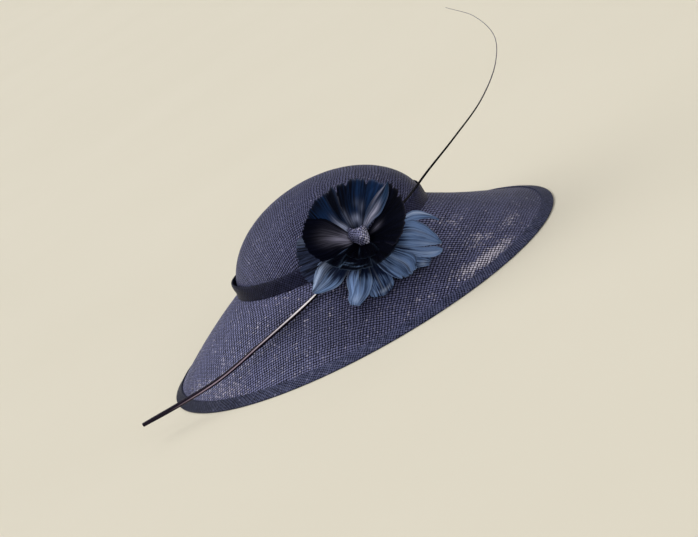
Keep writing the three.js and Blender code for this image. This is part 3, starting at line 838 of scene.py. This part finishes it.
CUP_PETALS = [
    dict(look="black", left=[(200, 5), (199, 20), (204, 32), (202, 43)],
         right=[(125, 5), (120, 15), (122, 24), (126, 32), (138, 42)], lift=4.0, bulge=3.5,
         belly=0.3, ruffle=0.8, fringe=1.3, tint=-0.1,
         painted_highlights=[(0.14, 0.42, 0.12, 0.28, 1.1), (0.28, 0.5, 0.16, 0.16, 0.8),
               (0.45, 0.5, 0.22, 0.16, 0.35), (0.18, 0.74, 0.16, 0.06, 0.6),
               (0.14, 0.88, 0.14, 0.05, 0.5), (0.4, 0.4, 0.25, 0.3, 0.16)]),
    dict(look="navy", left=[(160, 5), (152, 28), (140, 42)],
         right=[(82, 5), (98, 15), (105, 24), (102, 33), (99, 42)], lift=2.2, bulge=2.0, belly=0.5,
         ruffle=0.8, fringe=1.3, rim=0.04, tint=-0.05,
         painted_highlights=[(0.32, 0.28, 0.12, 0.2, 1.15), (0.2, 0.3, 0.1, 0.25, 0.5),
               (0.5, 0.2, 0.12, 0.1, 0.35), (0.42, 0.45, 0.14, 0.16, 0.25)],
         shade=[(0.95, 0.7, 0.2, 0.5, -0.4), (0.7, 0.4, 0.2, 0.3, 0.35)]),
    dict(look="navy", left=[(112, 5), (112, 26), (104, 43)], right=[(32, 5), (26, 26), (22, 46)],
         lift=0.2, bulge=0.8, belly=0.5, fringe=1.7, rim=0.15,
         splits=((0.76, 5.0), (0.6, 2.0), (0.28, 2.2)), folds=((0.7, 0.76, 1.2),), tint=-0.4,
         painted_highlights=[(0.34, 0.46, 0.07, 0.1, 0.85), (0.3, 0.64, 0.1, 0.14, 0.4),
               (0.6, 0.42, 0.08, 0.06, 0.12), (0.52, 0.3, 0.1, 0.06, 0.3),
               (0.25, 0.3, 0.1, 0.12, 0.35), (0.45, 0.72, 0.1, 0.06, 0.3)],
         shade=[(0.75, 0.16, 0.35, 0.2, 0.5), (0.8, 0.9, 0.3, 0.15, -0.4),
                (0.4, 0.6, 0.15, 0.3, 0.3)]),
    dict(look="streak", left=[(46, 5), (41, 20), (35, 29), (28, 38), (20, 48)],
         right=[(28, 5), (14, 19), (7, 27), (9, 36), (12, 43), (18, 49)], lift=3.2, belly=0.6,
         crease=1.6, ruffle=0.3, rim=0.12, folds=((0.55, 0.5, -0.5),),
         painted_highlights=[(0.48, 0.4, 0.14, 0.2, 0.75), (0.3, 0.35, 0.16, 0.3, 0.8),
               (0.15, 0.7, 0.12, 0.25, 0.7), (0.8, 0.85, 0.25, 0.1, 0.6)],
         shade=[(0.6, 0.85, 0.25, 0.25, -0.4), (0.85, 0.4, 0.25, 0.6, -0.35)]),
    dict(look="black", left=[(16, 5), (12, 28), (15, 44), (17, 50)],
         right=[(-52, 5), (-56, 28), (-62, 43)], lift=1.8, bulge=1.5, belly=1.0, ruffle=1.2,
         fringe=1.4, rim=0.06, splits=((0.8, 3.5), (0.93, 2.5)), tint=-0.3,
         painted_highlights=[(0.3, 0.72, 0.12, 0.1, 0.35)]),
    dict(look="rimmed", left=[(-36, 5), (-38, 26), (-48, 43)],
         right=[(-95, 5), (-94, 26), (-92, 44)], lift=0.6, bulge=3.0, belly=1.5, fringe=1.2,
         rim=0.18, roll=1.0, tint=-0.2),
    dict(look="rimmed", left=[(-55, 5), (-63, 17), (-73, 31)],
         right=[(-171, 5), (-163, 13), (-157, 20)], lift=4.6, bulge=2.5, belly=1.0, ruffle=2.2,
         fringe=1.3, rim=0.12, roll=2.0, tint=-0.3, painted_highlights=[(0.5, 0.5, 0.2, 0.015, 0.35)]),
    dict(look="rimmed", left=[(-84, 5), (-92, 24), (-96, 44)],
         right=[(192, 5), (200, 25), (202, 41)], lift=1.0, bulge=0.5, belly=1.5, ruffle=2.4,
         fringe=0.9, rim=0.3, roll=1.0, folds=((0.1, 0.33, -2.0),),
         painted_highlights=[(0.72, 0.45, 0.02, 0.12, 1.3), (0.8, 0.4, 0.02, 0.1, 1.1),
               (0.86, 0.7, 0.02, 0.14, 1.0), (0.85, 0.32, 0.15, 0.016, 1.5)]),
]

UNDER_PETALS = [
    dict(left=[(8, 5), (1, 46), (-1, 57), (-9, 66), (-17, 73)],
         right=[(-12, 5), (-10, 42), (-11, 55), (-14, 66), (-18, 73)], lift=2.4, crease=1.6,
         ruffle=0.8, tint=0.35, painted_highlights=[(0.8, 0.75, 0.3, 0.2, 0.8)], covered=0.5,
         shade=[(0.75, 0.2, 0.3, 0.15, -0.4)]),
    dict(left=[(-2, 5), (-5, 43), (-15, 57), (-27, 67), (-36, 75)],
         right=[(-46, 5), (-43, 36), (-41, 53), (-39, 66), (-37, 75)], lift=2.4, belly=2.2,
         ruffle=1.2, rim=0.3, tint=0.38, covered=0.46, folds=((0.5, 0.4, 0.6),),
         painted_highlights=[(0.85, 0.15, 0.2, 0.1, 0.5), (0.7, 0.6, 0.2, 0.06, 0.35)]),
    dict(left=[(-34, 5), (-40, 44), (-40, 60), (-39, 70), (-41, 77)],
         right=[(-54, 5), (-51, 50), (-50, 64), (-47, 73), (-43, 77)], lift=1.0, belly=0.8,
         crease=1.4, ruffle=0.8, rim=0.35, tint=0.3, covered=0.55, folds=((0.8, 0.5, 0.9),),
         painted_highlights=[(0.8, 0.3, 0.2, 0.2, 0.5)]),
    dict(left=[(-44, 5), (-48, 45), (-48, 60), (-50, 69)],
         right=[(-68, 5), (-64, 45), (-62, 60), (-56, 70)], lift=0.4, belly=1.0, crease=0.8,
         ruffle=1.0, splits=((0.35, 4.0),), fringe=1.0, covered=0.6,
         painted_highlights=[(0.92, 0.3, 0.06, 0.3, 0.5)]),
    dict(left=[(-44, 5), (-46, 38), (-50, 53), (-60, 60)],
         right=[(-98, 5), (-87, 34), (-83, 48), (-80, 56)], lift=2.2, belly=2.2, bulge=3.5,
         fringe=1.4, splits=((0.22, 4.0), (0.5, 2.0), (0.68, 5.0)),
         folds=((0.7, 0.66, -1.2), (0.35, 0.25, -0.8)), rim=0.15, covered=0.42, tint=0.05,
         painted_highlights=[(0.75, 0.58, 0.3, 0.05, 0.3)]),
    dict(left=[(-76, 5), (-80, 40), (-84, 54)], right=[(-118, 5), (-114, 40), (-110, 56)], lift=0.6,
         belly=1.6, bulge=7.0, fringe=1.2, splits=((0.3, 3.0),), tint=-0.2, covered=0.62,
         folds=((0.6, 0.75, 0.8),),
         painted_highlights=[(0.75, 0.5, 0.2, 0.03, 0.35), (0.93, 0.6, 0.03, 0.3, 0.4)]),
    dict(left=[(-104, 5), (-102, 34), (-104, 44), (-109, 54), (-114, 61), (-119, 66)],
         right=[(-136, 5), (-139, 34), (-135, 44), (-130, 53), (-129, 60), (-126, 65)], lift=2.6,
         belly=2.6, ruffle=0.9, fringe=1.2, splits=((0.55, 4.0), (0.25, 2.0)), rim=0.25,
         covered=0.48, tint=0.15, folds=((0.95, 0.1, -1.6), (0.55, 0.6, -0.6)),
         painted_highlights=[(0.9, 0.5, 0.1, 0.3, 0.4)]),
    dict(left=[(224, 5), (219, 36), (215, 48), (206, 58), (200, 64)],
         right=[(168, 5), (174, 38), (184, 50), (197, 64)], lift=2.2, crease=3.0, belly=1.0,
         ruffle=0.5, rim=0.3, covered=0.56, folds=((0.5, 0.42, -1.2),), tint=0.3,
         painted_highlights=[(0.8, 0.2, 0.3, 0.18, 0.9), (0.85, 0.62, 0.25, 0.12, 0.3)],
         shade=[(0.6, 0.8, 0.4, 0.3, -0.2), (0.75, 0.4, 0.5, 0.03, -0.7)]),
    dict(look="indigo", left=[(200, 5), (196, 36), (192, 58)],
         right=[(160, 5), (158, 36), (160, 58)], lift=1.2, belly=1.6, bulge=2.5, ruffle=1.6,
         fringe=1.4, splits=((0.3, 3.0), (0.66, 4.0)), folds=((0.5, 0.55, 0.8),), covered=0.4),
    dict(look="indigo", left=[(170, 5), (168, 36), (164, 58)],
         right=[(136, 5), (136, 36), (140, 57)], lift=0.2, belly=1.2, bulge=2.5, fringe=1.4,
         splits=((0.5, 4.0),), covered=0.4, painted_highlights=[(0.95, 0.2, 0.1, 0.2, 0.6)]),
]

for i, shape in enumerate(CUP_PETALS):
    petal(f"cup_feather_{i + 1}", f"cup_petal_{i + 1}", slot="black_feather", height=cup_height,
          seed=10 + i, **shape)

for i, shape in enumerate(UNDER_PETALS):
    petal(f"under_feather_{i + 1}", f"under_petal_{i + 1}", slot="blue_feather",
          height=under_height, seed=40 + i, **shape)


BUTTON_FOLDS = [(-167, 7.0), (-103, 9.4), (-63, 12.6), (-32, 10.4), (34, 13.0), (88, 8.6),
                (106, 14.0), (150, 9.6), (193, 7.0)]      # degrees round, and reach of each fold


def button():
    """A square of sinamay gathered over the core: a lump whose folds make uneven corners."""
    rings, around = 30, 120
    theta = np.linspace(-np.pi, np.pi, around, endpoint=False)
    fold_degrees, fold_reach = np.array(BUTTON_FOLDS).T
    fold_angle = np.radians(fold_degrees)
    fine = np.linspace(0, len(BUTTON_FOLDS) - 1, 400)
    side_x = np.interp(fine, range(len(BUTTON_FOLDS)), fold_reach * np.cos(fold_angle))
    side_y = np.interp(fine, range(len(BUTTON_FOLDS)), fold_reach * np.sin(fold_angle))
    turn = np.where(theta < fold_angle[0], theta + 2 * np.pi, theta)
    corners = np.interp(turn, np.unwrap(np.arctan2(side_y, side_x)), np.hypot(side_x, side_y))
    nearest = np.min(np.abs(turn[:, None] - fold_angle[None, :]), axis=1)
    ridge = np.exp(-(nearest / 0.16) ** 2)
    points, places = [(0.0, 0.0, BUTTON_RISE)], [(0.0, 0.0, 0.0)]
    for i in range(1, rings + 1):
        s = i / rings
        radius = corners * s ** 0.85
        height = BUTTON_RISE * (1 - s ** 3.0) + (1.5 * ridge - 0.6) * s * (1 - s ** 6)
        for t, r, h in zip(theta, radius, height):
            points.append((r * math.cos(t), r * math.sin(t), h))
            places.append((BUTTON_CLOTH * s * math.cos(t), BUTTON_CLOTH * s * math.sin(t), 0.0))
    faces = [(0, 1 + j, 1 + (j + 1) % around) for j in range(around)]
    faces += [f[::-1] for f in grid_faces(rings, around, wrap=True, start=1)]
    last = 1 + (rings - 1) * around
    points.append((0.0, 0.0, -0.4))
    places.append((0.0, 0.0, 0.0))
    faces += [(last + (j + 1) % around, last + j, len(points) - 1) for j in range(around)]
    local = np.array(points) + [0, 0, BUTTON_FLOOR]
    # Painted highlight on the button's right side, and painted shade on its lower left.
    painted_light = np.zeros_like(local)
    painted_light[:, 0] = 0.55 * smoothstep(-4, 6, local[:, 0])
    painted_light[:, 1] = 0.45 * smoothstep(0, -9, local[:, 0] + local[:, 1])
    piece = new_piece("button_cloth", local @ FLOWER_AXES.T + FLOWER_CENTRE, faces, BUTTON_STRAW,
                      {"weave": places, "painted_light": painted_light})
    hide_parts("button_cover", "button_core")


button()


# ---- Quill ----

QUILL_PATH = np.array([
    (-174, 174, -37.5), (-163.5, 133.5, -36), (-151, 93, -33), (-136, 46.5, -23),
    (-117.5, 5.5, -14), (-106, -15, -8.5), (-76.5, -55.5, 5), (-47.5, -105.3, 20),
    (-28.5, -133.5, 33), (-8, -164.3, 46.4), (13, -196.7, 63), (29, -219.8, 84.7),
    (34.5, -229, 106), (31.5, -223, 130), (20.5, -206.5, 151.5),
])
QUILL_TAPER = np.array([      # share of the length from the butt, and the radius there
    (0, 1.9), (0.04, 2.25), (0.15, 2.3), (0.3, 2.0), (0.5, 1.4), (0.62, 1.05), (0.7, 0.85),
    (0.9, 0.35), (1, 0.2),
])


def smooth_path(knots, steps):
    """Points evenly spaced on a centripetal Catmull-Rom curve through the knots."""
    ends = np.concatenate([[2 * knots[0] - knots[1]], knots, [2 * knots[-1] - knots[-2]]])
    line = []
    for a, b, c, d in zip(ends, ends[1:], ends[2:], ends[3:]):
        t = np.cumsum([0, *(math.sqrt(np.linalg.norm(q - p)) for p, q in ((a, b), (b, c), (c, d)))])
        for s in np.linspace(t[1], t[2], 40, endpoint=False):
            def blend(p, q, i, j):
                return ((t[j] - s) * p + (s - t[i]) * q) / (t[j] - t[i])
            ab, bc, cd = blend(a, b, 0, 1), blend(b, c, 1, 2), blend(c, d, 2, 3)
            line.append(blend(blend(ab, bc, 0, 2), blend(bc, cd, 1, 3), 1, 2))
    line = np.array([*line, knots[-1]])
    far = along_profile(line)
    even = np.linspace(0, far[-1], steps)
    return np.stack([np.interp(even, far, line[:, k]) for k in range(3)], 1)


def quill():
    """A stripped quill: a round tapering shaft with a shallow pith groove that faces outwards."""
    steps, around = 420, 32
    line = smooth_path(QUILL_PATH, steps)
    share = np.linspace(0, 1, steps)
    radius = np.interp(share, QUILL_TAPER[:, 0], QUILL_TAPER[:, 1])
    tangent = np.gradient(line, axis=0)
    tangent /= np.linalg.norm(tangent, axis=1, keepdims=True)
    raised = np.interp(share, [0, 0.1, 0.2, 0.32], [-0.3, -0.15, 0.25, 1.0])
    outward = np.stack([-0.9 + 0 * share, -0.42 + 0 * share, raised], 1)
    groove = outward - np.sum(tangent * outward, 1)[:, None] * tangent
    groove /= np.linalg.norm(groove, axis=1, keepdims=True)
    side = np.cross(tangent, groove)
    phi = np.linspace(0, 2 * np.pi, around, endpoint=False)
    from_groove = np.minimum(phi, 2 * np.pi - phi)
    dent = np.exp(-(from_groove / 0.42) ** 2)
    reach = radius[:, None] * (1 - 0.12 * dent)[None, :]
    points = (line[:, None] + groove[:, None] * (reach * np.cos(phi))[..., None]
              + side[:, None] * (reach * np.sin(phi))[..., None])
    faces = grid_faces(steps, around, wrap=True)
    faces.append(tuple(range(around))[::-1])
    faces.append(tuple(range((steps - 1) * around, steps * around)))
    marks = np.zeros((steps, around, 3))
    marks[..., 0] = dent[None, :] ** np.interp(share, [0.12, 0.22, 0.32], [2.4, 2.8, 0.8])[:, None]
    marks[..., 1] = share[:, None]
    piece = new_piece("quill_shaft", points.reshape(-1, 3), faces, shaft(),
                      {"groove": marks.reshape(-1, 3)})
    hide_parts("quill")


quill()


# ---- CAD nodes that stay ----

for node, material in {
    "brim_edge_wire": WIRE,
    "flower_base": FELT,
    "flower_stem": THREAD,
    "quill_tack_1": THREAD,
    "quill_tack_2": THREAD,
}.items():
    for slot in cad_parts[node].material_slots:
        slot.material = material


# ---- Stage: floor, light and camera ----

WORLD_LIGHT = 0.23
FLOOR_HALF = 40.0      # metres


def stage():
    """The pale floor that the hat stands on, and an even white sky."""
    floor_mesh = bpy.data.meshes.new("floor")
    half, z = FLOOR_HALF, cad_box[0][2]
    corners = [(-half, -half, z), (half, -half, z), (half, half, z), (-half, half, z)]
    floor_mesh.from_pydata(corners, [], [(0, 1, 2, 3)])
    floor = add_object("floor", floor_mesh)
    look = Look("floor_paper", Roughness=0.9)
    grain, _ = look.noise(look.node("TexCoord").outputs["Object"], 3.0)
    look.paint(look.mix(grain, colour(222, 215, 196), colour(226, 219, 201)))
    floor_mesh.materials.append(look.material)

    world = bpy.data.worlds.new("studio")
    world.use_nodes = True
    world.node_tree.nodes["Background"].inputs[0].default_value = (1.0, 0.99, 0.97, 1)
    world.node_tree.nodes["Background"].inputs[1].default_value = WORLD_LIGHT
    bpy.context.scene.world = world
    bpy.context.scene.view_settings.view_transform = "Standard"


def soft_light(name, direction, strength, spread):
    """A far, wide lamp, its direction given as right, up and towards the camera."""
    right, up, back = view_axes()
    towards = (right * direction[0] + up * direction[1] + back * direction[2]).normalized()
    data = bpy.data.lights.new(name, "SUN")
    data.energy = strength
    data.angle = math.radians(spread)
    light = add_object(name, data)
    light.location = towards * 3
    light.rotation_euler = towards.to_track_quat("Z", "Y").to_euler()


CAMERA_AZIMUTH = math.radians(-65)
CAMERA_ELEVATION = math.radians(12.6)
CAMERA_ROLL = math.radians(-30.29)
CAMERA_DISTANCE = 2.3
CAMERA_LENS = 126.1
CAMERA_AIM = (0.016, -0.0222)      # how far right of and above the origin the camera looks


def view_axes():
    """The camera's right, up and backward directions, before it is aimed off the origin."""
    a, e = CAMERA_AZIMUTH, CAMERA_ELEVATION
    back = Vector((math.sin(a) * math.cos(e), -math.cos(a) * math.cos(e), math.sin(e)))
    level = Vector((0, 0, 1)).cross(back).normalized()
    upright = back.cross(level)
    right = level * math.cos(CAMERA_ROLL) + upright * math.sin(CAMERA_ROLL)
    up = upright * math.cos(CAMERA_ROLL) - level * math.sin(CAMERA_ROLL)
    return right, up, back


def camera():
    right, up, back = view_axes()
    place = back * CAMERA_DISTANCE
    forward = (right * CAMERA_AIM[0] + up * CAMERA_AIM[1] - place).normalized()
    right = forward.cross(up).normalized()
    up = right.cross(forward)
    data = bpy.data.cameras.new("camera")
    data.lens = CAMERA_LENS
    data.clip_end = 200
    view = add_object("camera", data)
    turned = Matrix((right, up, -forward)).transposed().to_4x4()
    view.matrix_world = Matrix.Translation(place) @ turned
    bpy.context.scene.camera = view


stage()
soft_light("key", direction=(-0.97, 0.17, -0.06), strength=2.9, spread=75)
soft_light("fill", direction=(0.1, 0.3, 0.95), strength=1.2, spread=50)
soft_light("top", direction=(-0.1, 0.85, -0.5), strength=0.16, spread=30)
camera()
